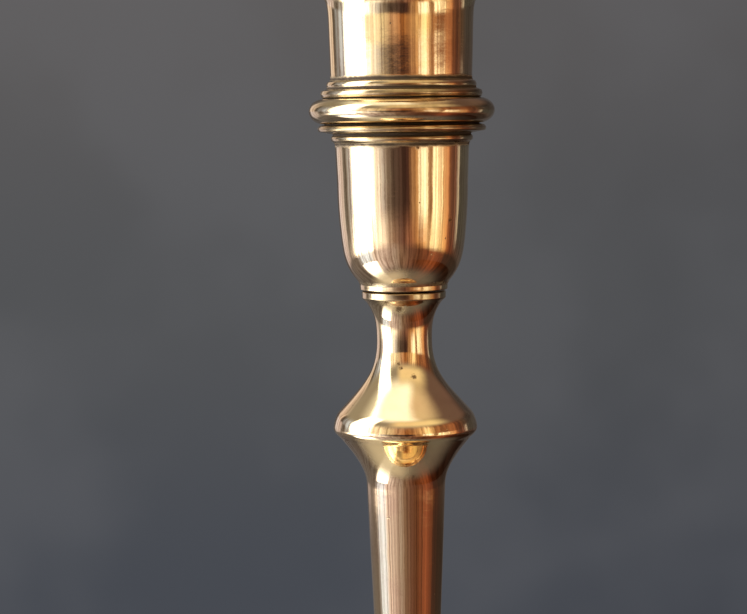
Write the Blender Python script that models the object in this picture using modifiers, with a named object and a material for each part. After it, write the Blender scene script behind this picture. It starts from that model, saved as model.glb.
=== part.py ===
"""A turned brass candlestick with a push-up ejector, as the separate pieces it is put together from.

The stick stands on the table at Z = 0 with its axis on Z. A hollow cast stem carries a screwed-on socket at
the top. Its lower tenon passes through a loose knop and a domed foot and is drawn down by a nut. A rod runs
up the middle of everything, with a disc under the candle and a button inside the hollow of the foot.
"""

import math

import bpy

MM = 0.001  # every size below is in millimetres
ROUND_SIDES = 32  # sides of the large turned pieces
SMALL_SIDES = 20  # sides of the rod, bush and other small turned pieces
GAP = 0.3  # what seated or running faces keep between them

# Heights, up from the table.
RIM_TOP = 248.0
SOCKET_BOTTOM = 186.85
STEM_TOP = SOCKET_BOTTOM - GAP
TOP_TENON_END = 196.4
SOCKET_FLOOR = 203.0
KNOP_WIDEST = 160.4
TAPER_TOP = 148.5
ANKLE = 69.5
STEM_SHOULDER = 64.8
FOOT_SEAT = 53.0
FOOT_CEILING = 46.5
TENON_END = 38.8

# Radii.
CANDLE_BORE_MOUTH = 11.35
CANDLE_BORE_FLOOR = 11.05
RIM = 18.4
CUP = 12.8
RING = 18.1
COLLAR = 8.25
NECK = 5.45
KNOP = 14.1
ANKLE_RADIUS = 4.6
FOOT_RIM = 58.0
FOOT_WALL = 2.7
TENON = 4.6
TENON_HOLE = TENON + GAP
NECK_BORE = 2.2
CORE_TOP = 4.6  # the hollow of the stem, below the knop
CORE_BOTTOM = 3.0  # the hollow of the stem, at its lower end
ROD = 1.6
ROD_HOLE = ROD + GAP

# The ejector, with its disc down on the floor of the socket.
DISC = 10.6
DISC_THICK = 1.6
DISC_BOTTOM = SOCKET_FLOOR + GAP
BUTTON = 7.2
BUTTON_BOTTOM = 2.5
BUTTON_TOP = 9.5
LOCK_NUT_THICK = 2.0
LOCK_NUT_FLATS = 6.6

# What holds the stick together under the foot.
WASHER_THICK = 1.3
WASHER = 7.3
NUT_THICK = 4.7
NUT_FLATS = 12.0
BUSH_FLANGE_THICK = 0.9

BRASS = (0.79, 0.58, 0.29, 1.0)
DULL_BRASS = (0.55, 0.41, 0.20, 1.0)
IRON = (0.23, 0.22, 0.21, 1.0)


class Outline:
    """Half of a piece's section, as points of radius and height, drawn down its outside and up its inside.

    Headings are in degrees: 0 points outwards, -90 down, 180 inwards and 90 up.
    """

    def __init__(self, radius, height):
        self.points = [(radius, height)]

    def line(self, *corners):
        """Straight runs through the corners."""
        self.points.extend(corners)
        return self

    def bend(self, radius, height, leave, arrive, steps=5, pull=0.38):
        """One smooth curve to a new point, which leaves and arrives on the headings given."""
        r0, h0 = self.points[-1]
        handle = pull * math.hypot(radius - r0, height - h0)
        a, b = math.radians(leave), math.radians(arrive)
        r1, h1 = r0 + handle * math.cos(a), h0 + handle * math.sin(a)
        r2, h2 = radius - handle * math.cos(b), height - handle * math.sin(b)
        for step in range(1, steps + 1):
            t = step / steps
            s = 1 - t
            w0, w1, w2, w3 = s * s * s, 3 * s * s * t, 3 * s * t * t, t * t * t
            self.points.append(
                (w0 * r0 + w1 * r1 + w2 * r2 + w3 * radius, w0 * h0 + w1 * h1 + w2 * h2 + w3 * height)
            )
        return self

    def bead(self, drop, bulge, steps=6):
        """A half-round swelling that ends straight below where it starts."""
        r0, h0 = self.points[-1]
        for step in range(1, steps + 1):
            turn = math.pi * step / steps
            self.points.append((r0 + bulge * math.sin(turn), h0 - drop * (1 - math.cos(turn)) / 2))
        return self

    def lining(self, first, last, wall):
        """Comes back past points first to last, a wall's thickness inside them."""
        for i in range(last, first - 1, -1):
            (r0, h0), (r1, h1) = self.points[i - 1], self.points[i + 1]
            length = math.hypot(r1 - r0, h1 - h0)
            r, h = self.points[i]
            self.points.append((r + wall * (h1 - h0) / length, h - wall * (r1 - r0) / length))
        return self


def clear_scene():
    for obj in list(bpy.data.objects):
        bpy.data.objects.remove(obj)


def new_collection(name):
    collection = bpy.data.collections.new(name)
    bpy.context.scene.collection.children.link(collection)
    return collection


def new_material(name, colour, roughness):
    material = bpy.data.materials.new(name)
    material.use_nodes = True
    shader = material.node_tree.nodes["Principled BSDF"]
    shader.inputs["Base Color"].default_value = colour
    shader.inputs["Metallic"].default_value = 1.0
    shader.inputs["Roughness"].default_value = roughness
    return material


def new_object(name, mesh, material, collection):
    obj = bpy.data.objects.new(name, mesh)
    obj.data.materials.append(material)
    collection.objects.link(obj)
    return obj


def turned(name, outline, material, collection, sides=ROUND_SIDES, closed=True):
    """Turns an outline round Z. A closed outline leaves a hole up the middle, an open one ends on Z."""
    points = [(radius * MM, 0.0, height * MM) for radius, height in outline.points]
    edges = [(i, i + 1) for i in range(len(points) - 1)]
    if closed:
        edges.append((len(points) - 1, 0))
    mesh = bpy.data.meshes.new(name)
    mesh.from_pydata(points, edges, [])
    obj = new_object(name, mesh, material, collection)
    screw = obj.modifiers.new("Turn", "SCREW")
    screw.axis = "Z"
    screw.angle = 2 * math.pi
    screw.steps = sides
    screw.render_steps = sides
    screw.use_merge_vertices = True
    screw.merge_threshold = 0.00001
    screw.use_smooth_shade = True
    return obj


def hex_nut(name, bottom, thickness, across_flats, hole, material, cutters, collection):
    """A six-sided nut round Z: a prism with its top and bottom corners turned off, and its hole bored out."""
    bpy.ops.mesh.primitive_cylinder_add(
        vertices=6,
        radius=across_flats / math.sqrt(3) * MM,
        depth=thickness * MM,
        location=(0, 0, (bottom + thickness / 2) * MM),
    )
    nut = bpy.context.object
    nut.name = name
    nut.data.name = name
    nut.data.materials.append(material)
    for owner in list(nut.users_collection):
        owner.objects.unlink(nut)
    collection.objects.link(nut)
    # The lathe takes the six sharp corners off on a cone that just touches the flats.
    crown = across_flats / 2
    reach = across_flats / math.sqrt(3) + 1
    fall = 0.5 * (reach - crown)
    corner_cone = Outline(0, bottom + thickness + 0.001)
    corner_cone.line((crown, bottom + thickness + 0.001), (reach, bottom + thickness - fall))
    corner_cone.line((reach, bottom + fall), (crown, bottom - 0.001), (0, bottom - 0.001))
    cutter = turned(name + "_crown", corner_cone, material, cutters, SMALL_SIDES, closed=False)
    boolean(nut, cutter, "INTERSECT")
    bore = Outline(0, bottom + thickness + 1)
    bore.line((hole, bottom + thickness + 1), (hole, bottom - 1), (0, bottom - 1))
    cutter = turned(name + "_bore", bore, material, cutters, SMALL_SIDES, closed=False)
    boolean(nut, cutter, "DIFFERENCE")
    return nut


def boolean(obj, cutter, operation):
    cutter.hide_render = True
    cutter.display_type = "WIRE"
    modifier = obj.modifiers.new(operation.title(), "BOOLEAN")
    modifier.operation = operation
    modifier.object = cutter


def socket_outline():
    """The candle socket: flared rim, straight nozzle, ring moulding, tulip cup and bored bottom."""
    o = Outline(CANDLE_BORE_MOUTH + 0.9, RIM_TOP)
    # Drip rim: flat top, half-round edge, one fillet, and a cavetto into the nozzle.
    o.line((RIM - 1.0, RIM_TOP)).bead(2.0, 1.0, 4)
    o.line((16.9, RIM_TOP - 2.2), (16.9, RIM_TOP - 3.0))
    o.bend(14.15, RIM_TOP - 8.4, -155, -93, 5, 0.46)
    o.line((13.8, RIM_TOP - 20.2))
    # Ring moulding: two rising fillets, the big torus, a lower fillet and a small bead.
    o.line((14.6, 227.2), (14.6, 226.1), (15.7, 225.7), (15.7, 224.5), (15.3, 224.1))
    o.bead(4.9, RING - 15.3, 8)
    o.line((16.4, 218.8), (16.4, 217.7), (13.6, 217.2), (13.6, 215.8), (CUP + 0.2, 215.2))
    # Tulip cup, which stays straight and then rounds in to a short lip over the seam.
    o.line((CUP, 207.5)).bend(12.1, 196.6, -90.5, -96, 3)
    o.bend(8.95, 188.5, -97, -131, 5, 0.4)
    o.line((8.65, 187.9), (8.6, SOCKET_BOTTOM))
    # Threaded hole for the stem's tenon, the hole for the rod, and the candle's bore.
    o.line((TENON_HOLE, SOCKET_BOTTOM), (TENON_HOLE, TOP_TENON_END + 0.6))
    o.line((NECK_BORE, TOP_TENON_END + 1.6), (NECK_BORE, SOCKET_FLOOR))
    o.line((CANDLE_BORE_FLOOR - 0.8, SOCKET_FLOOR), (CANDLE_BORE_FLOOR, SOCKET_FLOOR + 0.8))
    o.line((CANDLE_BORE_MOUTH, RIM_TOP - 1.2), (CANDLE_BORE_MOUTH + 0.25, RIM_TOP - 0.4))
    return o


def stem_outline():
    """The stem: top tenon, collar, waisted neck, shouldered knop, long taper, foot ring, lower tenon."""
    o = Outline(NECK_BORE + 0.3, TOP_TENON_END)
    o.line((TENON - 0.5, TOP_TENON_END), (TENON, TOP_TENON_END - 0.5), (TENON, STEM_TOP))
    o.line((COLLAR - 0.2, STEM_TOP), (COLLAR, STEM_TOP - 0.2), (COLLAR, 185.2), (7.4, 184.4))
    # The waisted neck swells out into the knop, which has a crease above and below its rounded edge.
    o.bend(NECK, 176.9, -125, -90, 4, 0.4)
    o.bend(13.2, 163.4, -90, -37, 7, 0.43)
    o.bend(KNOP, KNOP_WIDEST, -47, -90, 3)
    o.bend(12.9, 157.8, -90, -138, 3)
    o.bend(7.75, TAPER_TOP, -129, -92.5, 5, 0.32)
    # The long taper, hollowing very slightly towards the ankle.
    o.bend(ANKLE_RADIUS, ANKLE, -92.3, -91.9, 5, 0.33)
    o.bend(6.3, STEM_SHOULDER + 2.5, -85, -25, 3)
    o.bead(2.5, 0.9, 4)
    # Lower tenon, then the cored hollow up the middle.
    o.line((TENON, STEM_SHOULDER), (TENON, TENON_END + 0.5), (TENON - 0.5, TENON_END))
    o.line((CORE_BOTTOM, TENON_END), (CORE_BOTTOM, 84.0))
    o.line((CORE_TOP, KNOP_WIDEST - 6), (CORE_TOP, KNOP_WIDEST + 1), (NECK_BORE, 168.0))
    o.line((NECK_BORE, TOP_TENON_END - 0.3))
    return o


def lower_knop_outline():
    """The loose knop between stem and foot: a flattened ball between two fillets."""
    top, bottom = STEM_SHOULDER - GAP, FOOT_SEAT + GAP
    o = Outline(TENON_HOLE, top)
    o.line((7.2, top), (7.4, top - 0.2), (7.4, top - 1.1), (7.0, top - 1.7))
    o.bead(top - bottom - 3.6, 4.4, 8)
    o.line((8.3, bottom + 1.4), (8.5, bottom + 0.2), (8.3, bottom), (TENON_HOLE, bottom))
    return o


def foot_outline():
    """The foot: a trumpet that spreads from a small seat, a bead, a domed skirt and a stepped rim."""
    o = Outline(TENON_HOLE, FOOT_SEAT)
    o.line((10.2, FOOT_SEAT), (10.5, FOOT_SEAT - 0.3), (10.5, FOOT_SEAT - 1.5), (10.1, FOOT_SEAT - 2.0))
    trumpet = len(o.points)
    o.bend(30.6, 26.2, -87, -17, 8, 0.5)
    o.line((31.4, 26.0), (31.4, 25.2)).bead(3.2, 1.8, 5)
    o.line((32.2, 21.6))
    skirt = len(o.points)
    o.bend(51.0, 8.8, -8, -82, 7, 0.42)
    o.line((51.2, 8.0), (52.6, 7.7), (52.8, 6.8))
    o.bend(56.9, 4.2, -45, -20, 3, 0.5)
    o.line((FOOT_RIM, 3.4), (FOOT_RIM, 0.5), (FOOT_RIM - 0.5, 0.0))
    # Underneath, the rim's flat face and then the hollow, which follows the outside a wall's thickness in.
    o.line((53.6, 0.0), (51.0, 1.0), (49.2, 4.6))
    o.lining(skirt, skirt + 5, FOOT_WALL)
    o.lining(trumpet + 1, trumpet + 7, FOOT_WALL)
    o.line((7.8, FOOT_CEILING - 0.6), (7.2, FOOT_CEILING), (TENON_HOLE, FOOT_CEILING))
    return o


def washer_outline():
    top = FOOT_CEILING - GAP
    bottom = top - WASHER_THICK
    o = Outline(TENON_HOLE, top)
    o.line((WASHER, top), (WASHER, bottom + 0.3), (WASHER - 0.4, bottom), (TENON_HOLE, bottom))
    return o


def bush_outline():
    """The flanged bush that guides the rod where it leaves the stem."""
    flange_top = TENON_END - GAP
    flange_bottom = flange_top - BUSH_FLANGE_THICK
    outside = CORE_BOTTOM - GAP
    o = Outline(ROD_HOLE, TENON_END + 11.0)
    o.line((outside, TENON_END + 11.0), (outside, flange_top), (TENON - 0.3, flange_top))
    o.line((TENON - 0.3, flange_bottom), (ROD_HOLE, flange_bottom))
    return o


def disc_outline():
    """The disc that lifts the candle, countersunk for the rod's riveted end."""
    top = DISC_BOTTOM + DISC_THICK
    o = Outline(2.3, top)
    o.line((DISC - 0.3, top), (DISC, top - 0.3), (DISC, DISC_BOTTOM + 0.3), (DISC - 0.3, DISC_BOTTOM))
    o.line((1.1 + GAP, DISC_BOTTOM), (1.1 + GAP, DISC_BOTTOM + 0.5))
    return o


def rod_outline():
    """The rod, with a shouldered and riveted top end under the candle."""
    head = DISC_BOTTOM + DISC_THICK - 0.15
    o = Outline(0, head)
    o.line((1.7, head), (1.7, head - 0.15), (1.1, head - 0.85), (1.1, DISC_BOTTOM - GAP))
    o.line((ROD, DISC_BOTTOM - GAP), (ROD, BUTTON_BOTTOM + 2.6), (ROD - 0.3, BUTTON_BOTTOM + 2.3))
    o.line((0, BUTTON_BOTTOM + 2.3))
    return o


def button_outline():
    """The thumb button: a low dome below, a waist above, and a blind hole for the rod."""
    o = Outline(ROD_HOLE, BUTTON_TOP)
    o.line((3.4, BUTTON_TOP), (3.6, BUTTON_TOP - 0.2))
    o.bend(BUTTON - 0.4, BUTTON_BOTTOM + 2.7, -92, -12, 4, 0.5)
    o.line((BUTTON, BUTTON_BOTTOM + 2.3), (BUTTON - 0.2, BUTTON_BOTTOM + 1.6))
    o.bend(0, BUTTON_BOTTOM, -125, 180, 4, 0.42)
    o.line((0, BUTTON_BOTTOM + 2.0), (ROD_HOLE, BUTTON_BOTTOM + 2.0))
    return o


def main():
    clear_scene()
    pieces = new_collection("candlestick")
    cutters = new_collection("cutters")
    polished = new_material("polished_brass", BRASS, 0.12)
    dull = new_material("dull_brass", DULL_BRASS, 0.4)
    iron = new_material("iron", IRON, 0.45)

    turned("socket", socket_outline(), polished, pieces)
    turned("stem", stem_outline(), polished, pieces)
    turned("lower_knop", lower_knop_outline(), polished, pieces)
    turned("foot", foot_outline(), polished, pieces)
    turned("stem_washer", washer_outline(), dull, pieces, SMALL_SIDES)
    nut_bottom = FOOT_CEILING - GAP - WASHER_THICK - GAP - NUT_THICK
    hex_nut("stem_nut", nut_bottom, NUT_THICK, NUT_FLATS, TENON_HOLE, dull, cutters, pieces)
    turned("rod_guide_bush", bush_outline(), dull, pieces, SMALL_SIDES)

    # The ejector slides on Z, so each of its pieces keeps its origin on that axis.
    turned("ejector_disc", disc_outline(), dull, pieces)
    turned("ejector_rod", rod_outline(), iron, pieces, SMALL_SIDES, closed=False)
    turned("ejector_button", button_outline(), polished, pieces, SMALL_SIDES)
    lock_nut = (BUTTON_TOP + GAP, LOCK_NUT_THICK, LOCK_NUT_FLATS)
    hex_nut("ejector_lock_nut", *lock_nut, ROD_HOLE, dull, cutters, pieces)


main()
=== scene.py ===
import math

import bmesh
import bpy
import numpy as np
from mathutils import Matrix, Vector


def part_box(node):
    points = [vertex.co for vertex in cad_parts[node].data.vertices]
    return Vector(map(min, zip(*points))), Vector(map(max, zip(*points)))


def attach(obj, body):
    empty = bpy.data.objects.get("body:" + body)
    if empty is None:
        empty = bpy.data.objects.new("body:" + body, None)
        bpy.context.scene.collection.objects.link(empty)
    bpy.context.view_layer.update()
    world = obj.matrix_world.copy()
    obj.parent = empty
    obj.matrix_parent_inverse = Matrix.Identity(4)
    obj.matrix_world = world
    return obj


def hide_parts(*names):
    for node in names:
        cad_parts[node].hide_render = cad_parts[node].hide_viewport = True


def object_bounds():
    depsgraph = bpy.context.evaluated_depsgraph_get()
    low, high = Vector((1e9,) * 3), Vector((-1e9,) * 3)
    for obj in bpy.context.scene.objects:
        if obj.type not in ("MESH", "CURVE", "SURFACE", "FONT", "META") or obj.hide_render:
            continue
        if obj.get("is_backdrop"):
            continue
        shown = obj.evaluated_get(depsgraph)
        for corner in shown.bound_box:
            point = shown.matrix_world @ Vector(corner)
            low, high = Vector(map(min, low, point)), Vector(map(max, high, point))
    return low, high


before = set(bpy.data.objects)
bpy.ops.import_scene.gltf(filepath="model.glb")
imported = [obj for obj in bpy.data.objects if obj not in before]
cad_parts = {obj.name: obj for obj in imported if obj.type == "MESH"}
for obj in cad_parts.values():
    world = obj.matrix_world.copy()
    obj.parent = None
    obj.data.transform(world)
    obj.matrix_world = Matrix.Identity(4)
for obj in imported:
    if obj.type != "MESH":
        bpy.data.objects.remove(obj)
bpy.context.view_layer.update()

# ------------------------------------------------------------------------------------------------------
# The stem. One brass casting, cored hollow, turned between centres, then filed and polished by hand.
# The socket screws down on its top tenon, and the nut under the foot pulls on its lower one.
# ------------------------------------------------------------------------------------------------------
MM = 0.001
POLISHED, WORKED, CAST, THREADED = range(4)  # how a stretch of surface was finished
ROW = {POLISHED: 0.6, WORKED: 0.8, CAST: 1.6, THREADED: 0.11}  # the longest step along each, in mm
SHARP = 14  # a corner that turns by more degrees than this is worn round


class Template:
    """Half the section of a turned piece in millimetres, down its outside and then up its inside.

    Headings are in degrees: 0 points outwards, -90 down, 180 inwards and 90 up.
    """

    def __init__(self, radius, height):
        self.points = [(radius, height)]
        self.finish = [POLISHED]

    def line(self, *corners, finish=None):
        """Straight cuts through the corners. A finish given here holds from the first of them on."""
        for corner in corners:
            self.points.append(corner)
            self.finish.append(self.finish[-1] if finish is None else finish)
        return self

    def bend(self, radius, height, leave, arrive, pull=0.38, steps=16):
        """One smooth curve to a new point, which leaves and arrives on the headings given."""
        r0, h0 = self.points[-1]
        handle = pull * math.hypot(radius - r0, height - h0)
        a, b = math.radians(leave), math.radians(arrive)
        r1, h1 = r0 + handle * math.cos(a), h0 + handle * math.sin(a)
        r2, h2 = radius - handle * math.cos(b), height - handle * math.sin(b)
        for step in range(1, steps + 1):
            t = step / steps
            s = 1 - t
            w0, w1, w2, w3 = s * s * s, 3 * s * s * t, 3 * s * t * t, t * t * t
            out = w0 * r0 + w1 * r1 + w2 * r2 + w3 * radius
            up = w0 * h0 + w1 * h1 + w2 * h2 + w3 * height
            self.line((out, up))
        return self

    def bead(self, drop, bulge, steps=18):
        """A half-round swelling that ends straight below where it starts."""
        r0, h0 = self.points[-1]
        for step in range(1, steps + 1):
            turn = math.pi * step / steps
            self.line((r0 + bulge * math.sin(turn), h0 - drop * (1 - math.cos(turn)) / 2))
        return self

    def lining(self, first, last, wall, finish):
        """Comes back past points first to last, a wall's thickness inside them."""
        for i in range(last, first - 1, -1):
            (r0, h0), (r1, h1) = self.points[i - 1], self.points[i + 1]
            length = math.hypot(r1 - r0, h1 - h0)
            r, h = self.points[i]
            self.line((r + wall * (h1 - h0) / length, h - wall * (r1 - r0) / length), finish=finish)
        return self

    def rows(self, closed, wear):
        """The outline with its corners worn round and its long runs divided, and the finish of each row."""
        points = [np.array(p, float) for p in self.points]
        last = len(points) - 1
        rounded, finish = [], []
        for i, here in enumerate(points):
            before, after = points[i - 1], points[(i + 1) % (last + 1)]
            into, out = here - before, after - here
            length_in, length_out = np.linalg.norm(into), np.linalg.norm(out)
            on_axis = not closed and i in (0, last)
            cosine = np.clip(into @ out / (length_in * length_out), -1, 1)
            bent = 0 if on_axis else math.degrees(math.acos(cosine))
            if bent < SHARP:
                rounded.append(here)
                finish.append(self.finish[i])
                continue
            cut = min(wear, 0.42 * length_in, 0.42 * length_out)  # two worn corners never meet
            start, end = here - into / length_in * cut, here + out / length_out * cut
            for t in (0.0, 0.25, 0.5, 0.75, 1.0):
                rounded.append((1 - t) ** 2 * start + 2 * t * (1 - t) * here + t * t * end)
                finish.append(self.finish[i])
        rows, kinds = [], []
        count = len(rounded)
        for i in range(count if closed else count - 1):
            a, b = rounded[i], rounded[(i + 1) % count]
            pieces = max(1, math.ceil(np.linalg.norm(b - a) / ROW[finish[(i + 1) % count]]))
            for k in range(pieces):
                rows.append(a + (b - a) * k / pieces)
                kinds.append(finish[(i + 1) % count])
        if not closed:
            rows.append(rounded[-1])
            kinds.append(finish[-1])
        return np.array(rows), kinds


def relief_of(rows, closed):
    """How far each row stands proud of the outline's general run, and how much is moulded round about it.

    The first is under 0 in a groove and over 0 on an edge. The second is 0 on a plain stretch.
    """
    step, general_reach, moulded_reach = 0.05, 0.8, 1.4
    path = np.vstack([rows, rows[:1]]) if closed else rows
    along = np.concatenate([[0], np.cumsum(np.linalg.norm(np.diff(path, axis=0), axis=1))])
    even = np.arange(0, along[-1], step)
    fine = np.column_stack([np.interp(even, along, path[:, k]) for k in (0, 1)])

    def general_run(values, reach):
        width = min(int(3 * reach / step), len(values) - 1)
        kernel = np.exp(-0.5 * (np.arange(-width, width + 1) * step / reach) ** 2)
        padded = np.pad(values, ((width, width), (0, 0)), mode="wrap" if closed else "reflect")
        smooth = [np.convolve(column, kernel / kernel.sum(), "valid") for column in padded.T]
        return np.column_stack(smooth)

    general = general_run(fine, general_reach)
    slope = np.gradient(general, axis=0)
    outward = np.column_stack([-slope[:, 1], slope[:, 0]])
    outward /= np.linalg.norm(outward, axis=1)[:, None] + 1e-12
    proud = ((fine - general) * outward).sum(axis=1)
    moulded = general_run(np.abs(proud)[:, None], moulded_reach)[:, 0]
    return np.interp(along[: len(rows)], even, proud), np.interp(along[: len(rows)], even, moulded)


def hand_finish(angle, along, seed):
    """The slow unevenness, -1 to 1, that filing and polishing by hand leave on a turned surface."""
    dice = np.random.default_rng(seed)
    swell = np.zeros(np.broadcast(angle, along).shape)
    for lobes, length in ((1, 19), (2, 13), (3, 9), (4, 7.5), (5, 11), (7, 6), (9, 5), (3, 4.2), (12, 6.5)):
        phase, lean = dice.uniform(0, 2 * math.pi), dice.choice((-1, 1))
        share = length / 19 * (0.6 if lobes > 6 else 1)
        swell += share * np.sin(lobes * angle + lean * 2 * math.pi * along / length + phase)
    return swell / 3


def thread_depth(angle, height, thread):
    """How deep a screw thread is cut at each point. A thread is its (top, bottom, pitch, depth)."""
    top, bottom, pitch, depth = thread
    turn = (height / pitch - angle / (2 * math.pi)) % 1.0
    groove = 1 - np.abs(2 * turn - 1)
    fade = np.clip((top - height) / pitch, 0, 1) * np.clip((height - bottom) / pitch, 0, 1)
    return depth * groove * fade


def turned(name, template, metals, steps, closed=True, wear=0.16, swell=0.014, seed=1, shape=None,
           thread=None):
    """A turned piece as a mesh, in metals for what is polished, worked and cast.

    shape(angle, radius, height) may cut the round form, as on a nut.
    """
    rows, kinds = template.rows(closed, wear)
    proud, moulded = relief_of(rows, closed)
    path = np.vstack([rows, rows[:1]]) if closed else rows
    runs = np.linalg.norm(np.diff(path, axis=0), axis=1)
    along = np.concatenate([[0], np.cumsum(runs)])[: len(rows)]
    slope = np.gradient(rows, axis=0)
    outward = np.column_stack([-slope[:, 1], slope[:, 0]])
    outward /= np.linalg.norm(outward, axis=1)[:, None] + 1e-12
    angle = np.linspace(0, 2 * math.pi, steps, endpoint=False)[None, :]
    lift = swell * hand_finish(angle, along[:, None], seed)
    free = np.clip(rows[:, 0] / 2, 0, 1)[:, None]  # nothing moves sideways near the axis
    radius = rows[:, 0][:, None] + lift * outward[:, 0][:, None] * free
    height = rows[:, 1][:, None] + lift * outward[:, 1][:, None] * free + 0 * angle
    if shape is not None:
        radius, height = shape(angle, radius, height)
    if thread is not None:
        outside = (outward[:, 0] > 0.5)[:, None]
        radius = radius - np.where(outside, thread_depth(angle, height, thread), 0)
    xyz = np.stack([radius * np.cos(angle), radius * np.sin(angle), height], axis=-1).reshape(-1, 3) * MM

    count = len(rows)
    down = np.arange(count if closed else count - 1)
    i, j = np.meshgrid(np.arange(steps), down)
    below, beside = (j + 1) % count, (i + 1) % steps
    quads = np.stack([j * steps + i, below * steps + i, below * steps + beside, j * steps + beside], -1)
    mesh = bpy.data.meshes.new(name)
    mesh.from_pydata(xyz.tolist(), [], quads.reshape(-1, 4).tolist())
    for metal in metals:
        mesh.materials.append(metal)
    mesh.polygons.foreach_set("use_smooth", [True] * len(mesh.polygons))
    slots = np.minimum(np.array(kinds)[down], CAST)
    slots[np.array(kinds)[down] == THREADED] = WORKED
    mesh.polygons.foreach_set("material_index", np.repeat(slots, steps).tolist())

    # A map that unrolls the surface: once round across it, and along the outline up it.
    sheet = mesh.uv_layers.new(name="unrolled")
    far = np.append(along, along[-1] + runs[-1])
    u = np.stack([i, i, i + 1, i + 1], -1) / steps
    v = np.stack([far[j], far[j + 1], far[j + 1], far[j]], -1) / far[-1]
    sheet.data.foreach_set("uv", np.stack([u, v], -1).reshape(-1).astype(np.float32))
    for kind, values in (("relief", proud), ("moulded", moulded)):
        layer = mesh.attributes.new(kind, "FLOAT", "POINT")
        layer.data.foreach_set("value", np.repeat(values, steps).astype(np.float32))
    if not closed:  # the rows on the axis close to a point
        welder = bmesh.new()
        welder.from_mesh(mesh)
        bmesh.ops.remove_doubles(welder, verts=welder.verts, dist=1e-7)
        welder.to_mesh(mesh)
        welder.free()
    piece = bpy.data.objects.new(name, mesh)
    bpy.context.scene.collection.objects.link(piece)
    return piece


class Wiring:
    """Puts nodes into one tree and joins them. A value is a number, a colour or another node's output."""

    def __init__(self, tree):
        self.tree = tree

    def put(self, kind, values=None, **settings):
        made = self.tree.nodes.new(kind)
        for key, value in settings.items():
            setattr(made, key, value)
        for socket, value in (values or {}).items():
            self.feed(made.inputs[socket], value)
        return made

    def feed(self, socket, value):
        if isinstance(value, bpy.types.NodeSocket):
            self.tree.links.new(value, socket)
        else:
            socket.default_value = value

    def math(self, operation, *values):
        return self.put("ShaderNodeMath", dict(enumerate(values)), operation=operation).outputs[0]

    def vector(self, operation, *values):
        made = self.put("ShaderNodeVectorMath", dict(enumerate(values)), operation=operation)
        return made.outputs["Value" if operation in ("LENGTH", "DISTANCE", "DOT_PRODUCT") else "Vector"]

    def ramp(self, value, start, end, low=0.0, high=1.0):
        """Goes smoothly from low to high while value goes from start to end."""
        values = {"Value": value, "From Min": start, "From Max": end, "To Min": low, "To Max": high}
        return self.put("ShaderNodeMapRange", values, interpolation_type="SMOOTHSTEP").outputs[0]

    def mix(self, share, a, b, how="MIX"):
        values = {0: share, 6: a, 7: b}
        return self.put("ShaderNodeMix", values, data_type="RGBA", blend_type=how).outputs[2]

    def noise(self, place, scale, detail=2.0, roughness=0.5):
        values = {"Vector": place, "Scale": scale, "Detail": detail, "Roughness": roughness}
        return self.put("ShaderNodeTexNoise", values).outputs[0]


def new_group(name, wants, gives):
    """An empty node group with these inputs and outputs, as its wiring, its inputs and its outputs."""
    tree = bpy.data.node_groups.new(name, "ShaderNodeTree")
    for socket, value in wants.items():
        kind = "NodeSocketFloat" if isinstance(value, float) else "NodeSocketColor"
        tree.interface.new_socket(socket, in_out="INPUT", socket_type=kind).default_value = value
    for socket, kind in gives.items():
        tree.interface.new_socket(socket, in_out="OUTPUT", socket_type=kind)
    wiring = Wiring(tree)
    return wiring, wiring.put("NodeGroupInput").outputs, wiring.put("NodeGroupOutput").inputs


def group_node(wiring, group, values):
    """One use of a node group, as its outputs."""
    return wiring.put("ShaderNodeGroup", values, node_tree=bpy.data.node_groups[group]).outputs


# Fine rings that the turning tool left. They run with the outline, and fade in and out on the way round.
w, given, result = new_group(
    "lathe_rings", {"Lines per mm": 2.6, "Breaks": 2.0}, {"Height": "NodeSocketFloat"}
)
place = w.put("ShaderNodeTexCoord").outputs["Object"]
part = w.put("ShaderNodeSeparateXYZ", {"Vector": place}).outputs
flat = w.put("ShaderNodeCombineXYZ", {"X": part["X"], "Y": part["Y"]}).outputs[0]
round_way = w.put("ShaderNodeSeparateXYZ", {"Vector": w.vector("NORMALIZE", flat)}).outputs
per_metre = w.math("MULTIPLY", given["Lines per mm"], 1000.0)
lines = w.put("ShaderNodeCombineXYZ", {
    "X": w.math("MULTIPLY", w.vector("LENGTH", flat), per_metre),
    "Y": w.math("MULTIPLY", part["Z"], per_metre),
    "Z": w.math("MULTIPLY", round_way["X"], given["Breaks"]),
}).outputs[0]
w.feed(result["Height"], w.put("ShaderNodeTexNoise", {
    "Vector": lines, "W": w.math("MULTIPLY", round_way["Y"], given["Breaks"]),
    "Scale": 1.0, "Detail": 3.0,
}, noise_dimensions="4D").outputs[0])

# Hairline scratches from two centuries of polishing: three sets of long thin lines, each with its own lean.
w, given, result = new_group(
    "polishing_scratches", {"Lines per mm": 1.2, "Width": 0.02}, {"Mask": "NodeSocketFloat"}
)
place = w.put("ShaderNodeTexCoord").outputs["Object"]
scratches = None
for number, (lean, length) in enumerate((((3, 2, 0), 60.0), ((-8, 5, 20), 34.0), ((17, -12, 50), 20.0))):
    stretch = w.put("ShaderNodeMapping", {
        "Vector": place, "Location": (0.13 * number, 0.07, 0), "Rotation": tuple(map(math.radians, lean)),
        "Scale": (1000 / length, 1000 / length, 1000),
    }).outputs[0]
    field = w.put("ShaderNodeTexNoise", {
        "Vector": stretch, "Scale": given["Lines per mm"], "Detail": 0.0,
    }).outputs[0]
    line = w.ramp(w.math("ABSOLUTE", w.math("SUBTRACT", field, 0.5)), given["Width"], 0.0)
    spread = w.ramp(w.noise(place, 130.0 + 50 * number), 0.56, 0.72)
    line = w.math("MULTIPLY", line, spread)
    scratches = line if scratches is None else w.math("MAXIMUM", scratches, line)
w.feed(result["Mask"], scratches)

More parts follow.
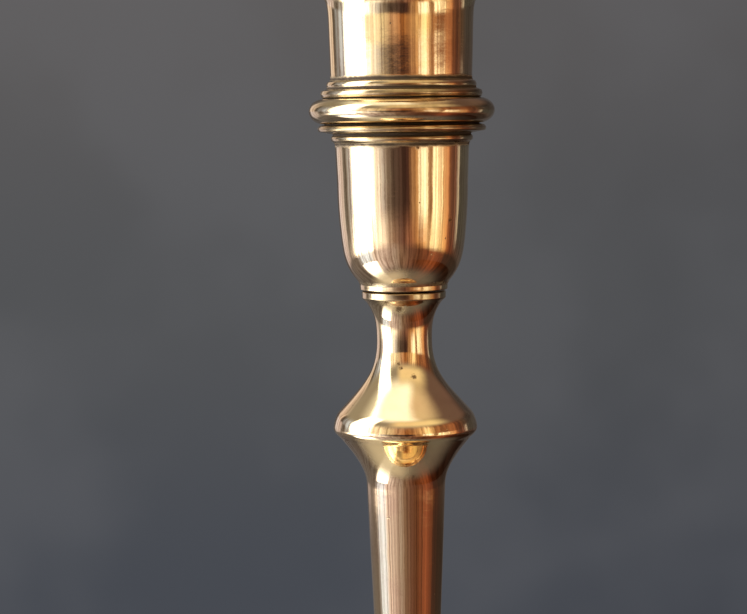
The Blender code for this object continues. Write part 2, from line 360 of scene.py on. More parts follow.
# Pinholes of the casting that polishing opened up, each a small dark pit.
w, given, result = new_group(
    "casting_pits", {"Spacing": 2.4, "Size": 0.22, "Share": 0.35}, {"Mask": "NodeSocketFloat"}
)
place = w.vector("MULTIPLY", w.put("ShaderNodeTexCoord").outputs["Object"], (1000.0, 1000.0, 1000.0))
fineness = w.math("DIVIDE", 1.0, given["Spacing"])
cell = w.put("ShaderNodeTexVoronoi", {"Vector": place, "Scale": fineness}).outputs
away = w.math("MULTIPLY", cell["Distance"], given["Spacing"])
lot = w.put("ShaderNodeSeparateColor", {"Color": cell["Color"]}).outputs[0]
chosen = w.math("LESS_THAN", lot, given["Share"])
pit = w.ramp(away, given["Size"], w.math("MULTIPLY", given["Size"], 0.5))
w.feed(result["Mask"], w.math("MULTIPLY", pit, chosen))

# Old brass as a whole: bright metal that varies a little, tarnish that starts in the hollows, and dirt.
w, given, result = new_group(
    "old_brass",
    {
        "Bright": (0.90, 0.73, 0.44, 1), "Rosy": (0.91, 0.68, 0.43, 1), "Tarnish": (0.35, 0.27, 0.15, 1),
        "Dirt": (0.055, 0.036, 0.018, 1), "Tarnish Share": 0.25, "Dirt Reach": 0.06, "Shine": 0.07,
    },
    {
        "Color": "NodeSocketColor", "Roughness": "NodeSocketFloat", "Metallic": "NodeSocketFloat",
        "Dirt": "NodeSocketFloat",
    },
)
place = w.put("ShaderNodeTexCoord").outputs["Object"]
relief = w.put("ShaderNodeAttribute", attribute_name="relief").outputs["Fac"]
moulded = w.put("ShaderNodeAttribute", attribute_name="moulded").outputs["Fac"]
clouds = w.noise(place, 55.0, 4.0, 0.6)
specks = w.noise(place, 900.0, 3.0, 0.65)
patches = w.noise(place, 210.0, 5.0, 0.62)
low = w.math("SUBTRACT", w.math("MULTIPLY", w.math("SUBTRACT", patches, 0.5), 0.16), relief)
hollow = w.ramp(low, 0.0, 0.16)
speckled = w.math("ADD", low, w.math("MULTIPLY", w.math("SUBTRACT", specks, 0.5), 0.10))
dirt = w.ramp(speckled, given["Dirt Reach"], w.math("ADD", given["Dirt Reach"], 0.13))
bloom = w.math("MULTIPLY", w.ramp(clouds, 0.42, 0.72), w.ramp(patches, 0.36, 0.66))
sheltered = w.math("MULTIPLY", w.ramp(moulded, 0.05, 0.19), w.ramp(patches, 0.30, 0.62, 0.45, 0.95))
tarnish = w.math("MULTIPLY", bloom, given["Tarnish Share"])
tarnish = w.math("ADD", tarnish, w.math("MULTIPLY", hollow, 0.45))
tarnish = w.math("MINIMUM", w.math("ADD", tarnish, w.math("MULTIPLY", sheltered, 0.85)), 1.0)
colour = w.mix(w.ramp(clouds, 0.38, 0.62), given["Bright"], given["Rosy"])
colour = w.mix(tarnish, colour, given["Tarnish"])
colour = w.mix(dirt, colour, given["Dirt"])
w.feed(result["Color"], colour)
rough = w.math("ADD", given["Shine"], w.math("MULTIPLY", tarnish, 0.15))
rough = w.math("ADD", rough, w.math("MULTIPLY", w.ramp(patches, 0.45, 0.75), 0.05))
w.feed(result["Roughness"], w.math("ADD", rough, w.math("MULTIPLY", dirt, 0.42)))
w.feed(result["Metallic"], w.math("SUBTRACT", 1.0, w.math("MULTIPLY", dirt, 0.55)))
w.feed(result["Dirt"], dirt)

# The pits that show most, each as its height and radius, the way it faces (degrees right of the front) and
# its size.
OLD_MARKS = (
    (172.7, 6.0, -11.5, 0.42), (171.8, 6.2, -7.8, 0.34), (170.2, 6.9, 14.0, 0.55), (183.5, 6.8, -9.0, 0.85),
    (142.7, 7.5, -28.6, 0.25), (200.6, 12.5, 45.8, 0.5), (214.6, 12.9, 12.0, 0.4), (151.0, 8.1, 9.0, 0.3),
)


def new_material(name):
    """An empty material with its Principled BSDF, as the material, its wiring and that node's inputs."""
    material = bpy.data.materials.new(name)
    material.use_nodes = True
    wiring = Wiring(material.node_tree)
    return material, wiring, material.node_tree.nodes["Principled BSDF"].inputs


# Polished brass, for every outside surface that a duster reaches.
polished_brass, w, brass = new_material("polished_brass")
old = group_node(w, "old_brass", {"Tarnish Share": 0.30, "Shine": 0.055})
rings = group_node(w, "lathe_rings", {"Lines per mm": 2.2, "Breaks": 1.6})["Height"]
scratches = group_node(w, "polishing_scratches", {"Lines per mm": 1.5, "Width": 0.012})["Mask"]
pits = group_node(w, "casting_pits", {"Spacing": 2.6, "Size": 0.2, "Share": 0.22})["Mask"]
place = w.put("ShaderNodeTexCoord").outputs["Object"]
for mark_height, mark_radius, faces, size in OLD_MARKS:
    turn = math.radians(faces)
    spot = (mark_radius * math.sin(turn) * MM, -mark_radius * math.cos(turn) * MM, mark_height * MM)
    raggedness = w.math("MULTIPLY", w.noise(place, 2600.0, 3.0), 0.001)
    ragged = w.math("ADD", w.vector("DISTANCE", place, spot), raggedness)
    pits = w.math("MAXIMUM", pits, w.ramp(ragged, (size + 0.65) * MM, (0.3 * size + 0.5) * MM))
w.feed(brass["Base Color"], w.mix(w.math("MULTIPLY", pits, 0.85), old["Color"], (0.11, 0.06, 0.03, 1)))
w.feed(brass["Metallic"], old["Metallic"])
rough = w.math("ADD", old["Roughness"], w.math("MULTIPLY", scratches, 0.10))
w.feed(brass["Roughness"], w.math("ADD", rough, w.math("MULTIPLY", pits, 0.25)))
height = w.math("SUBTRACT", w.math("MULTIPLY", rings, 0.28), w.math("MULTIPLY", scratches, 0.30))
height = w.math("SUBTRACT", height, w.math("MULTIPLY", pits, 2.5))
crust = w.math("MULTIPLY", old["Dirt"], w.noise(place, 2600.0))
height = w.math("ADD", height, w.math("MULTIPLY", crust, 6.0))
height = w.math("ADD", height, w.math("MULTIPLY", w.noise(place, 480.0, 3.0), 2.6))
w.feed(brass["Normal"], w.put("ShaderNodeBump", {"Height": height, "Distance": 0.0000045}).outputs[0])

# Worked brass, for screws, bores and bearing faces: straight off the tool, dull and never polished.
worked_brass, w, brass = new_material("worked_brass")
old = group_node(w, "old_brass", {
    "Bright": (0.58, 0.42, 0.21, 1), "Rosy": (0.50, 0.34, 0.18, 1), "Tarnish": (0.19, 0.13, 0.07, 1),
    "Tarnish Share": 0.75, "Dirt Reach": 0.03, "Shine": 0.24,
})
rings = group_node(w, "lathe_rings", {"Lines per mm": 4.0, "Breaks": 1.2})["Height"]
scratches = group_node(w, "polishing_scratches", {"Lines per mm": 0.9, "Width": 0.03})["Mask"]
scratched = w.math("MULTIPLY", scratches, 0.35)
w.feed(brass["Base Color"], w.mix(scratched, old["Color"], (0.62, 0.47, 0.25, 1)))
w.feed(brass["Metallic"], old["Metallic"])
w.feed(brass["Roughness"], old["Roughness"])
height = w.math("SUBTRACT", w.math("MULTIPLY", rings, 1.0), w.math("MULTIPLY", scratches, 0.8))
w.feed(brass["Normal"], w.put("ShaderNodeBump", {"Height": height, "Distance": 0.00002}).outputs[0])

# Cast brass, for what was left as it came out of the sand: grainy, brown, and rubbed bright here and there.
cast_brass, w, brass = new_material("cast_brass")
place = w.put("ShaderNodeTexCoord").outputs["Object"]
grain = w.noise(place, 1500.0, 6.0, 0.62)
lumps = w.noise(place, 240.0, 3.0)
old = group_node(w, "old_brass", {
    "Bright": (0.40, 0.28, 0.13, 1), "Rosy": (0.33, 0.21, 0.10, 1), "Tarnish": (0.13, 0.085, 0.045, 1),
    "Tarnish Share": 0.9, "Dirt Reach": 0.02, "Shine": 0.40,
})
rubbed = w.math("MULTIPLY", w.ramp(grain, 0.54, 0.68), 0.6)
w.feed(brass["Base Color"], w.mix(rubbed, old["Color"], (0.62, 0.45, 0.22, 1)))
w.feed(brass["Metallic"], old["Metallic"])
w.feed(brass["Roughness"], w.math("SUBTRACT", old["Roughness"], w.math("MULTIPLY", rubbed, 0.16)))
height = w.math("ADD", grain, w.math("MULTIPLY", lumps, 2.2))
w.feed(brass["Normal"], w.put("ShaderNodeBump", {"Height": height, "Distance": 0.00022}).outputs[0])

BRASSES = (polished_brass, worked_brass, cast_brass)

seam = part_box("socket")[0].z / MM  # the joint line between socket and stem
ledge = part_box("lower_knop")[1].z / MM + 0.3  # the shoulder above the lower tenon
tenon_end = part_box("stem")[0].z / MM
stem_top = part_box("stem")[1].z / MM
TENON, ROD_WAY = 4.6, 2.2
THREAD = 0.42  # depth of the large threads
stem = Template(ROD_WAY + 0.3, stem_top)
stem.line((TENON - 0.5, stem_top), (TENON, stem_top - 0.5), (TENON, seam - 0.3), finish=WORKED)
# Collar, waisted neck, and the knop: a hollow cone above, a bright rounded edge and a smaller cone below.
stem.line((8.05, seam - 0.3), (8.25, seam - 0.5), (8.25, seam - 1.65), finish=POLISHED)
stem.line((7.4, seam - 2.45))
stem.bend(5.45, seam - 9.95, -125, -90, 0.4)
stem.bend(12.9, seam - 23.9, -90, -48, 0.42)
stem.bend(14.05, seam - 26.5, -50, -76, 0.4)
stem.bend(12.9, seam - 29.05, -76, -138, 0.46)
stem.bend(7.75, seam - 38.35, -129, -92.5, 0.32)
# The long taper, hollowing slightly to the ankle, and the ring that stands on the lower knop.
stem.bend(4.6, ledge + 4.7, -92.3, -91.9, 0.33)
stem.bend(6.3, ledge + 2.5, -85, -25)
stem.bead(2.5, 0.9)
stem.line((TENON, ledge), (TENON, tenon_end + 2.3), finish=WORKED)
stem.line((TENON, tenon_end + 0.5), (TENON - 0.5, tenon_end), (3.0, tenon_end), finish=THREADED)
stem.line((3.0, 84.0), (4.6, seam - 32.5), (4.6, seam - 25.4), (ROD_WAY, seam - 18.8), finish=CAST)
stem.line((ROD_WAY, stem_top - 0.3), finish=WORKED)
thread = (tenon_end + 2.3, tenon_end - 0.5, 0.9, THREAD)
stem_brass = turned("stem_brass", stem, BRASSES, 168, seed=3, thread=thread)
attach(stem_brass, "candlestick")
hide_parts("stem")

# ------------------------------------------------------------------------------------------------------
# The socket. One brass casting, bored for the candle and turned outside: a flared rim, a straight nozzle,
# a ring moulding and a tulip cup. Its short lip screws down on the stem's collar and leaves a dark seam.
# ------------------------------------------------------------------------------------------------------
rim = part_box("socket")[1].z / MM
FLOOR_OF_BORE = 16.15  # above the seam
socket = Template(12.25, rim)
socket.line((17.4, rim)).bead(2.0, 1.0)
socket.line((16.9, rim - 2.2), (16.9, rim - 3.0))
socket.bend(14.15, rim - 8.4, -155, -93, 0.46)
socket.line((13.8, rim - 20.2))
# Two rising fillets, the big ring close under them, a lower fillet and a small bead.
socket.line((14.0, rim - 20.5), (14.45, rim - 20.7), (14.65, rim - 21.3), (14.5, rim - 22.0))
socket.line((14.9, rim - 22.15), (15.6, rim - 22.4), (15.8, rim - 23.1), (15.55, rim - 23.7))
socket.line((15.15, rim - 23.9))
socket.bead(4.9, 2.95, 30)
socket.line((15.05, rim - 28.95), (16.1, rim - 29.15), (16.45, rim - 29.7), (16.3, rim - 30.25))
socket.line((13.5, rim - 30.75))
socket.line((13.45, rim - 31.05)).bead(1.2, 0.4, 8)
socket.line((13.1, rim - 32.7), (12.8, seam + 20.65))
# The cup stays straight, then rounds in to its lip.
socket.bend(12.1, seam + 9.75, -90.5, -96)
socket.bend(8.95, seam + 1.65, -97, -131, 0.4)
socket.line((8.65, seam + 1.05), (8.6, seam))
socket.line((4.9, seam), (4.9, seam + 10.15), (ROD_WAY, seam + 11.15), (ROD_WAY, seam + FLOOR_OF_BORE),
            finish=WORKED)
socket.line((10.25, seam + FLOOR_OF_BORE), (11.05, seam + FLOOR_OF_BORE + 0.8), (11.35, rim - 1.2),
            (11.6, rim - 0.4))
socket_brass = turned("socket_brass", socket, BRASSES, 168, seed=8)
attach(socket_brass, "candlestick")
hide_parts("socket")

# ------------------------------------------------------------------------------------------------------
# The lower knop. A flattened ball turned from the solid between two fillets. It is loose on the stem's
# tenon, and the nut under the foot clamps it.
# ------------------------------------------------------------------------------------------------------
knop_low, knop_high = (corner.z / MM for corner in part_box("lower_knop"))
knop = Template(4.9, knop_high)
knop.line((7.2, knop_high), (7.4, knop_high - 0.2), (7.4, knop_high - 1.1), (7.0, knop_high - 1.7))
knop.bead(knop_high - knop_low - 3.6, 4.4, 30)
knop.line((8.3, knop_low + 1.4), (8.5, knop_low + 0.2), (8.3, knop_low), (4.9, knop_low))
knop_brass = turned("lower_knop_brass", knop, BRASSES, 144, seed=5)
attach(knop_brass, "candlestick")
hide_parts("lower_knop")

# ------------------------------------------------------------------------------------------------------
# The foot. A thin domed casting: a trumpet, a bead, a rounded skirt and a stepped rim, turned and polished
# outside. Underneath it is hollow, and only the flat of its rim is machined.
# ------------------------------------------------------------------------------------------------------
FOOT_WALL, FOOT_CEILING = 2.7, 46.5
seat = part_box("foot")[1].z / MM
foot_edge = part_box("foot")[1].x / MM
foot = Template(4.9, seat)
foot.line((10.2, seat), (10.5, seat - 0.3), (10.5, seat - 1.5), (10.1, seat - 2.0))
trumpet = len(foot.points)
foot.bend(30.6, 26.2, -87, -17, 0.5, 28)
trumpet_end = len(foot.points) - 1
foot.line((31.4, 26.0), (31.4, 25.2)).bead(3.2, 1.8)
foot.line((32.2, 21.6))
skirt = len(foot.points)
foot.bend(51.0, 8.8, -8, -82, 0.42, 28)
skirt_end = len(foot.points) - 4
foot.line((51.2, 8.0), (52.6, 7.7), (52.8, 6.8))
foot.bend(56.9, 4.2, -45, -20, 0.5)
foot.line((foot_edge, 3.4), (foot_edge, 0.5), (foot_edge - 0.5, 0.0))
foot.line((53.6, 0.0), finish=WORKED).line((51.0, 1.0), (49.2, 4.6), finish=CAST)
foot.lining(skirt, skirt_end, FOOT_WALL, CAST)
foot.lining(trumpet + 1, trumpet_end, FOOT_WALL, CAST)
foot.line((7.8, FOOT_CEILING - 0.6), (7.2, FOOT_CEILING), (4.9, FOOT_CEILING), finish=WORKED)
foot_brass = turned("foot_brass", foot, BRASSES, 224, wear=0.22, swell=0.03, seed=13)
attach(foot_brass, "candlestick")
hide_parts("foot")

# ------------------------------------------------------------------------------------------------------
# The washer and the nut that draw the stick together, up inside the foot. Both are brass, off the lathe
# and the file, and the nut's corners are turned off top and bottom.
# ------------------------------------------------------------------------------------------------------
washer_low, washer_high = (corner.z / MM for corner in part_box("stem_washer"))
washer = Template(4.9, washer_high)
washer.line((7.3, washer_high), (7.3, washer_low + 0.3), (6.9, washer_low), (4.9, washer_low))
washer.finish = [WORKED] * len(washer.points)
washer_brass = turned("stem_washer_brass", washer, BRASSES, 72, seed=21)


def nut(name, node, flats, hole, seed):
    """A six-sided nut in the place of a CAD nut, with its flats filed and its crowns turned."""
    low, high = (corner.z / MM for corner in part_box(node))
    corner = flats / math.sqrt(3)
    fall = 0.5 * (corner - flats / 2) + 0.25
    blank = Template(hole, high)
    blank.line((flats / 2 - 0.1, high), (corner + 0.2, high - fall), (corner + 0.2, low + fall))
    blank.line((flats / 2 - 0.1, low), (hole, low))
    blank.finish = [WORKED] * len(blank.points)

    def six_flats(angle, radius, height):
        side = math.pi / 3
        across = flats / 2 / np.cos((angle + side / 2) % side - side / 2)
        cut = (radius**-48.0 + across**-48.0) ** (-1 / 48.0)
        return np.where(radius > hole + 0.3, cut, radius), height

    return turned(name, blank, BRASSES, 144, wear=0.1, swell=0.008, seed=seed, shape=six_flats)


nut_brass = nut("stem_nut_brass", "stem_nut", 12.0, 4.9, 34)
for piece, node in ((washer_brass, "stem_washer"), (nut_brass, "stem_nut")):
    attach(piece, "candlestick")
    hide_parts(node)

# ------------------------------------------------------------------------------------------------------
# The guide bush. A flanged brass tube pressed into the stem's lower end, where it keeps the rod central.
# Its flange is the stop that the ejector's lock nut comes up against.
# ------------------------------------------------------------------------------------------------------
bush_low, bush_high = (corner.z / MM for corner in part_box("rod_guide_bush"))
bush = Template(1.9, bush_high)
bush.line((2.7, bush_high), (2.7, bush_low + 0.9), (4.3, bush_low + 0.9), (4.3, bush_low))
bush.line((1.9, bush_low))
bush.finish = [WORKED] * len(bush.points)
bush_brass = turned("rod_guide_bush_brass", bush, BRASSES, 72, wear=0.12, swell=0.006, seed=55)
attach(bush_brass, "candlestick")
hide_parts("rod_guide_bush")

# ------------------------------------------------------------------------------------------------------
# The ejector's disc and rod. The disc is brass and lies on the floor of the bore under the candle. The rod
# is iron wire, riveted over into the disc's countersink, and screwed at its lower end for the button.
# ------------------------------------------------------------------------------------------------------
disc_low, disc_high = (corner.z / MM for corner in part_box("ejector_disc"))
disc = Template(2.3, disc_high)
disc.line((10.3, disc_high), (10.6, disc_high - 0.3), (10.6, disc_low + 0.3), (10.3, disc_low))
disc.line((1.4, disc_low), (1.4, disc_low + 0.5))
disc.finish = [WORKED] * len(disc.points)
disc_brass = turned("ejector_disc_brass", disc, BRASSES, 144, wear=0.12, swell=0.02, seed=89)
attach(disc_brass, "ejector")
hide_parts("ejector_disc")

iron, w, metal = new_material("iron_wire")
place = w.put("ShaderNodeTexCoord").outputs["Object"]
drawn = w.put("ShaderNodeMapping", {"Vector": place, "Scale": (1.0, 1.0, 0.04)}).outputs[0]
rust = w.ramp(w.noise(place, 420.0, 6.0, 0.65), 0.50, 0.66)
grey = w.mix(w.noise(drawn, 4000.0), (0.20, 0.19, 0.18, 1), (0.34, 0.33, 0.31, 1))
w.feed(metal["Base Color"], w.mix(rust, grey, (0.10, 0.035, 0.015, 1)))
w.feed(metal["Metallic"], w.math("SUBTRACT", 1.0, w.math("MULTIPLY", rust, 0.9)))
w.feed(metal["Roughness"], w.ramp(rust, 0.0, 1.0, 0.34, 0.85))
height = w.math("ADD", w.math("MULTIPLY", rust, w.noise(place, 2400.0, 4.0)), w.noise(drawn, 4000.0))
w.feed(metal["Normal"], w.put("ShaderNodeBump", {"Height": height, "Distance": 0.00003}).outputs[0])

rod_low, rod_high = (corner.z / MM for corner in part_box("ejector_rod"))
ROD = 1.6
rod = Template(0, rod_high)
rod.bend(2.15, rod_high - 0.3, 0, -30, 0.4, 6)
rod.line((1.15, disc_low + 0.55), (1.15, disc_low - 0.3), (ROD, disc_low - 0.3), (ROD, rod_low + 11.0))
rod.line((ROD, rod_low + 0.3), (ROD - 0.3, rod_low), (0, rod_low), finish=THREADED)
thread = (rod_low + 11.0, rod_low - 0.5, 0.7, 0.3)
rod_iron = turned("ejector_rod_iron", rod, (iron, iron, iron), 40, closed=False, wear=0.1, swell=0.01,
                  seed=144, thread=thread)
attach(rod_iron, "ejector")
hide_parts("ejector_rod")

# ------------------------------------------------------------------------------------------------------
# The ejector's button and its lock nut, in the hollow of the foot. The button is turned brass with a low
# dome for the thumb, screwed on the rod. The small nut above it is tightened down to hold it.
# ------------------------------------------------------------------------------------------------------
button_low, button_high = (corner.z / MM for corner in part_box("ejector_button"))
button = Template(1.9, button_high)
button.line((3.4, button_high), (3.6, button_high - 0.2)).bend(6.8, button_low + 2.7, -92, -12, 0.5)
button.line((7.2, button_low + 2.3), (7.0, button_low + 1.6))
button.bend(0, button_low, -125, 180, 0.42)
button.line((0, button_low + 2.0), (1.9, button_low + 2.0), finish=WORKED)
button_brass = turned("ejector_button_brass", button, BRASSES, 96, wear=0.2, swell=0.02, seed=233)
lock_nut_brass = nut("ejector_lock_nut_brass", "ejector_lock_nut", 6.6, 1.9, 377)
for piece, node, slot in (
    (button_brass, "ejector_button", "polished_brass"),
    (lock_nut_brass, "ejector_lock_nut", "worked_brass"),
):
    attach(piece, "ejector")
    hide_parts(node)

# ------------------------------------------------------------------------------------------------------
# The floor. A plain pale disc under the candlestick, whose edge fades away. The brass mirrors only the part
# close by, and mostly what lies to the left: the floor is painted out of its reflections towards the right,
# a painted shade on the side away from the window.
# ------------------------------------------------------------------------------------------------------
FLOOR_EDGE, FLOOR_FADE = 0.46, 0.30
IN_BRASS_EDGE, IN_BRASS_FADE = 0.19, 0.08  # the brass mirrors less of it, or it would be pale all over
UNDER_FOOT = -0.0002
bpy.ops.mesh.primitive_circle_add(
    vertices=96, radius=FLOOR_EDGE, fill_type="NGON", location=(0, 0, UNDER_FOOT)
)
floor = bpy.context.object
floor.name = "floor"
pale, w, paint = new_material("pale_floor")
place = w.put("ShaderNodeTexCoord").outputs["Object"]
mottle = w.noise(place, 30.0, 3.0)
w.feed(paint["Base Color"], w.mix(mottle, (0.66, 0.64, 0.60, 1), (0.70, 0.68, 0.64, 1)))
paint["Roughness"].default_value = 0.75
away = w.vector("LENGTH", place)
seen_whole = w.ramp(away, FLOOR_FADE, FLOOR_EDGE, 1.0, 0.0)
# Painted shade in the brass: the floor shows in reflections on its left and fades out of them towards the
# right.
painted_lit_side = w.ramp(w.put("ShaderNodeSeparateXYZ", {"Vector": place}).outputs["X"], 0.05, -0.06, 0.15, 0.8)
seen_in_brass = w.math("MULTIPLY", w.ramp(away, IN_BRASS_FADE, IN_BRASS_EDGE, 1.0, 0.0), painted_lit_side)
in_brass = w.put("ShaderNodeLightPath").outputs["Is Glossy Ray"]
less = w.math("MULTIPLY", in_brass, w.math("SUBTRACT", seen_in_brass, seen_whole))
w.feed(paint["Alpha"], w.math("ADD", less, seen_whole))
floor.data.materials.append(pale)
floor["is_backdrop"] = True

# ------------------------------------------------------------------------------------------------------
# The light. A soft room all round: a tall window to the left, two pale door panels to the right, warm wood
# between them. Azimuths are degrees right of the front, and four storeys are painted one over another.
# ------------------------------------------------------------------------------------------------------
GLARE, WALL = (5.0, 5.0, 5.3), (0.070, 0.069, 0.074)
ABOVE = (  # what the nozzle looks out on
    (-180, WALL), (-160, (0.10, 0.09, 0.09)), (-155, (0.72, 0.61, 0.56)),
    (-138, (0.66, 0.56, 0.52)), (-133, (0.12, 0.11, 0.11)), (-128, (0.12, 0.11, 0.11)),
    (-116, (0.52, 0.60, 0.82)), (-103, (0.62, 0.75, 1.10)), (-96, GLARE), (-66, GLARE),
    (-62, (1.3, 1.25, 1.2)), (-59, (2.6, 2.5, 2.4)), (-50, (1.3, 1.22, 1.05)),
    (-42, (1.25, 1.12, 0.94)), (-30, (0.78, 0.68, 0.50)), (-14, (0.62, 0.38, 0.25)),
    (2, (0.38, 0.145, 0.045)), (14, (0.50, 0.26, 0.12)), (29, (0.85, 0.55, 0.28)),
    (33, (1.35, 1.05, 0.66)), (44, (1.15, 0.80, 0.42)), (48, (0.38, 0.17, 0.07)),
    (72, (0.36, 0.14, 0.06)), (84, (0.30, 0.11, 0.045)), (95, (0.14, 0.045, 0.02)),
    (110, (0.08, 0.045, 0.03)), (123, (0.04, 0.034, 0.036)), (150, (0.045, 0.04, 0.042)),
    (180, WALL),
)
LEVEL = (  # the upper cup: two bright door panels with a dark doorway to the left of them
    (-180, WALL), (-156, (0.09, 0.085, 0.09)), (-148, (0.72, 0.66, 0.74)),
    (-129, (0.68, 0.63, 0.72)), (-123, (0.14, 0.13, 0.13)), (-113, (0.24, 0.23, 0.25)),
    (-101, (0.66, 0.72, 0.98)), (-95, GLARE), (-57, GLARE), (-47, (1.5, 1.5, 1.65)),
    (-36, (0.55, 0.54, 0.62)), (-27, (0.24, 0.20, 0.19)), (-16, (0.085, 0.060, 0.056)),
    (9, (0.052, 0.020, 0.018)), (12, (0.20, 0.10, 0.06)), (18, (0.46, 0.26, 0.14)),
    (26, (0.58, 0.33, 0.15)), (28, (1.5, 1.4, 1.2)), (43, (1.5, 1.35, 1.1)),
    (45, (0.70, 0.45, 0.26)), (52, (0.32, 0.17, 0.08)), (54, (1.6, 1.45, 1.15)),
    (71, (1.6, 1.45, 1.1)), (74, (0.80, 0.48, 0.26)), (86, (0.55, 0.24, 0.11)),
    (92, (0.20, 0.08, 0.05)), (107, (0.15, 0.07, 0.055)), (110, (0.52, 0.45, 0.42)),
    (114, (0.50, 0.45, 0.42)), (117, (0.05, 0.05, 0.05)), (180, WALL),
)
LOWER = (  # the rounded bottom of the cup, and the neck
    (-180, WALL), (-154, (0.10, 0.095, 0.10)), (-146, (0.64, 0.58, 0.64)),
    (-134, (0.60, 0.55, 0.62)), (-126, (0.20, 0.19, 0.20)), (-112, (0.85, 0.85, 0.95)),
    (-102, (4.5, 4.5, 4.7)), (-62, (4.5, 4.5, 4.7)), (-55, (1.2, 1.2, 1.3)), (-50, (2.6, 2.6, 2.7)),
    (-44, (1.6, 1.55, 1.55)), (-33, (1.0, 0.92, 0.90)), (-18, (0.32, 0.22, 0.18)),
    (-3, (0.15, 0.08, 0.07)), (12, (0.34, 0.155, 0.10)), (27, (0.51, 0.26, 0.11)),
    (40, (0.80, 0.46, 0.24)), (48, (1.1, 0.82, 0.48)), (60, (1.35, 1.20, 0.88)),
    (70, (1.2, 0.95, 0.58)), (80, (0.85, 0.48, 0.22)), (90, (0.38, 0.12, 0.04)),
    (99, (0.14, 0.035, 0.015)), (112, (0.09, 0.04, 0.03)), (126, (0.066, 0.045, 0.043)),
    (180, WALL),
)
BELOW = (  # the stem, which looks down past a table edge
    (-180, (0.12, 0.12, 0.13)), (-104, (0.20, 0.19, 0.21)), (-97, (0.50, 0.55, 0.72)),
    (-91, (0.96, 1.20, 1.75)), (-70, (0.92, 1.12, 1.62)), (-62, (0.86, 0.80, 0.92)),
    (-50, (0.74, 0.66, 0.76)), (-34, (0.55, 0.46, 0.50)), (-18, (0.42, 0.36, 0.37)),
    (-6, (0.24, 0.16, 0.13)), (12, (0.17, 0.085, 0.065)), (30, (0.12, 0.042, 0.02)),
    (48, (0.20, 0.06, 0.028)), (60, (0.29, 0.085, 0.038)), (76, (0.19, 0.05, 0.022)),
    (88, (0.05, 0.014, 0.007)), (110, (0.026, 0.01, 0.006)), (150, (0.02, 0.012, 0.01)),
    (180, (0.12, 0.12, 0.13)),
)

# The painted room, as a colour for an azimuth in degrees and a height in metres on the round screen.
w, given, result = new_group("room", {"Azimuth": 0.0, "Height": 0.2}, {"Color": "NodeSocketColor"})
around = w.math("DIVIDE", w.math("ADD", given["Azimuth"], 180.0), 360.0)
uneven = w.noise(w.math("MULTIPLY", given["Azimuth"], 0.07), 1.0)
waver = w.math("MULTIPLY", w.math("SUBTRACT", uneven, 0.5), 0.006)
level = w.math("ADD", given["Height"], waver)
painted = None
storeys = (  # each fades in between two heights, over the one before
    (BELOW, (0, 0)), (LOWER, (0.038, 0.085)), (LEVEL, (0.08, 0.15)), (ABOVE, (0.212, 0.232)),
)
for storey, (fades_in, whole) in storeys:
    ramp = w.put("ShaderNodeValToRGB", {"Fac": around})
    stops = ramp.color_ramp.elements
    for number, (degrees, colour) in enumerate(storey):
        place = (degrees + 180) / 360
        stop = stops[0] if number == 0 else stops[-1] if number == len(storey) - 1 else stops.new(place)
        stop.position = place
        stop.color = (*colour, 1)
    strip = ramp.outputs["Color"]
    painted = strip if painted is None else w.mix(w.ramp(level, fades_in, whole), painted, strip)
# Upright streaks, as doorposts, shelves and chair legs would give.
up = w.math("MULTIPLY", given["Height"], 8.0)
upright = w.put("ShaderNodeCombineXYZ", {"X": given["Azimuth"], "Y": up}).outputs[0]
streak = w.noise(upright, 0.22, 4.0, 0.66)
tint = w.mix(w.ramp(streak, 0.38, 0.60), (0.56, 0.46, 0.40, 1), (1.32, 1.30, 1.26, 1))
w.feed(result["Color"], w.mix(1.0, painted, tint, "MULTIPLY"))

# A round screen carries the painting near the brass, where only reflections find it.
SCREEN_AWAY, SCREEN_LOW, SCREEN_HIGH = 0.43, -0.06, 0.37
bpy.ops.mesh.primitive_cylinder_add(
    vertices=128, radius=SCREEN_AWAY, depth=SCREEN_HIGH - SCREEN_LOW, end_fill_type="NOTHING",
    location=(0, 0, (SCREEN_HIGH + SCREEN_LOW) / 2),
)
screen = bpy.context.object
screen.name = "screen"
cloth_material, w, cloth = new_material("screen_cloth")
cloth["Base Color"].default_value = (0, 0, 0, 1)
cloth["Roughness"].default_value = 1.0
cloth["Emission Strength"].default_value = 1.0
place = w.put("ShaderNodeNewGeometry").outputs["Position"]
part = w.put("ShaderNodeSeparateXYZ", {"Vector": place}).outputs
azimuth = w.math("DEGREES", w.math("ARCTAN2", part["X"], w.math("MULTIPLY", part["Y"], -1.0)))
w.feed(cloth["Emission Color"], group_node(w, "room", {"Azimuth": azimuth, "Height": part["Z"]})["Color"])
w.feed(cloth["Alpha"], w.ramp(part["Z"], SCREEN_HIGH, SCREEN_HIGH - 0.08))
screen.data.materials.append(cloth_material)
for sight in ("camera", "diffuse", "transmission", "shadow", "volume_scatter"):
    setattr(screen, "visible_" + sight, False)
screen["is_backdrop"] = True

# The same painting far off lights the floor, with a pale ceiling over it and dimness under it.
studio = bpy.data.worlds.new("studio")
studio.use_nodes = True
bpy.context.scene.world = studio
w = Wiring(studio.node_tree)
w.tree.nodes.clear()
aim = w.put("ShaderNodeTexCoord").outputs["Generated"]
part = w.put("ShaderNodeSeparateXYZ", {"Vector": aim}).outputs
azimuth = w.math("DEGREES", w.math("ARCTAN2", part["X"], w.math("MULTIPLY", part["Y"], -1.0)))
lift = w.math("ARCSINE", part["Z"])
elevation = w.math("DEGREES", lift)
height = w.math("ADD", w.math("MULTIPLY", w.math("TANGENT", lift), SCREEN_AWAY), 0.2)
room = group_node(w, "room", {"Azimuth": azimuth, "Height": height})["Color"]
to_the_left = w.mix(w.ramp(elevation, 40, 70), (0.36, 0.32, 0.27, 1), (1.65, 1.62, 1.45, 1))
to_the_right = w.mix(w.ramp(elevation, 50, 70), (0.165, 0.105, 0.09, 1), (0.82, 0.64, 0.42, 1))
ceiling = w.mix(w.ramp(azimuth, 54, 4), to_the_right, to_the_left)
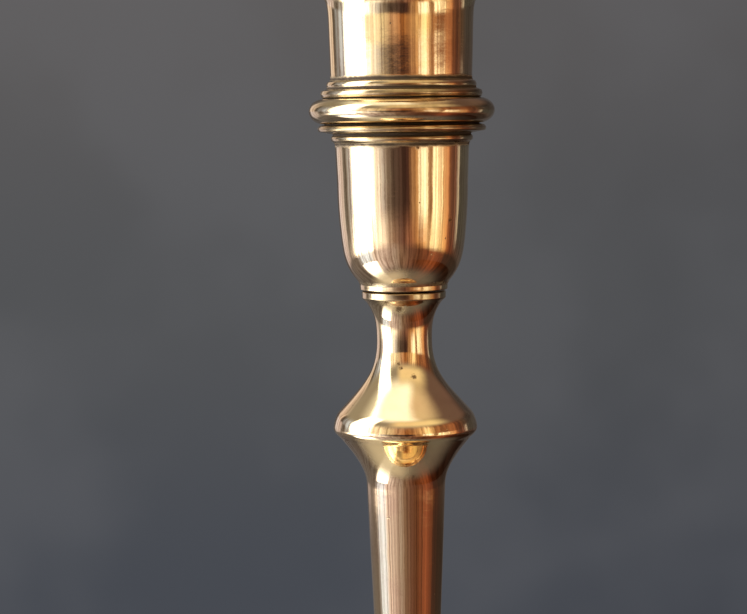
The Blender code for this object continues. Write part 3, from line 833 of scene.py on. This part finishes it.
window_above = w.math("MULTIPLY", w.ramp(azimuth, -104, -94), w.ramp(azimuth, -54, -66))
window_above = w.math("MULTIPLY", window_above, w.ramp(elevation, 66, 50))
lamp = w.math("MULTIPLY", w.ramp(azimuth, -40, -10), w.ramp(azimuth, 96, 48))
lamp = w.math("MULTIPLY", lamp, w.ramp(elevation, 22, 38))
lamp = w.math("MULTIPLY", lamp, w.ramp(elevation, 70, 46))
light = w.mix(w.ramp(elevation, 14, 34), room, ceiling)
light = w.mix(window_above, light, (4.6, 4.6, 4.8, 1))
light = w.mix(lamp, light, (1.05, 0.84, 0.50, 1))
light = w.mix(w.ramp(elevation, -34, -64, 0, 0.8), light, (0.085, 0.078, 0.078, 1))

# The camera itself sees a slate-grey wall behind the candlestick, with painted light on it: lighter and a
# little warmer towards its top, darker towards its bottom and towards its right, and faintly mottled.
slate_with_painted_shade = w.mix(w.ramp(elevation, -13, -4), (0.062, 0.068, 0.082, 1), (0.086, 0.088, 0.093, 1))
slate_with_painted_shade = w.mix(w.ramp(elevation, -5, 4), slate_with_painted_shade, (0.112, 0.106, 0.106, 1))
# Painted shade: the wall is darkened towards the right, away from the window.
slate_with_painted_shade = w.mix(w.ramp(part["X"], -0.02, 0.17, 0.0, 0.2), slate_with_painted_shade, (0.03, 0.03, 0.035, 1))
slate_with_painted_shade = w.mix(w.ramp(w.noise(aim, 7.0, 3.0), 0.40, 0.66, 0.0, 0.25), slate_with_painted_shade, (0.145, 0.145, 0.155, 1))
seen = w.put("ShaderNodeLightPath").outputs["Is Camera Ray"]
w.put("ShaderNodeOutputWorld", {
    "Surface": w.put("ShaderNodeBackground", {"Color": w.mix(seen, light, slate_with_painted_shade)}).outputs[0]
})

# ------------------------------------------------------------------------------------------------------
# The camera. It stands 430 mm in front and a few millimetres to the left, a little above the cup, and looks
# slightly down past the seam through a long lens.
# ------------------------------------------------------------------------------------------------------
AWAY, ABOVE_SEAM, AIM_BELOW_SEAM, LEFT, ROLL = 0.430, 0.0336, 0.0035, 0.0055, 0.74
lens = bpy.data.cameras.new("camera")
lens.sensor_width = 36.0
lens.lens = 106.0
camera = bpy.data.objects.new("camera", lens)
bpy.context.scene.collection.objects.link(camera)
camera.location = (-LEFT, -AWAY, seam * MM + ABOVE_SEAM)
downward = math.atan2(ABOVE_SEAM + AIM_BELOW_SEAM, AWAY)
camera.rotation_euler = (math.pi / 2 - downward, math.radians(ROLL), 0)
bpy.context.scene.camera = camera
bpy.context.scene.view_settings.view_transform = "Standard"

low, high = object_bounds()
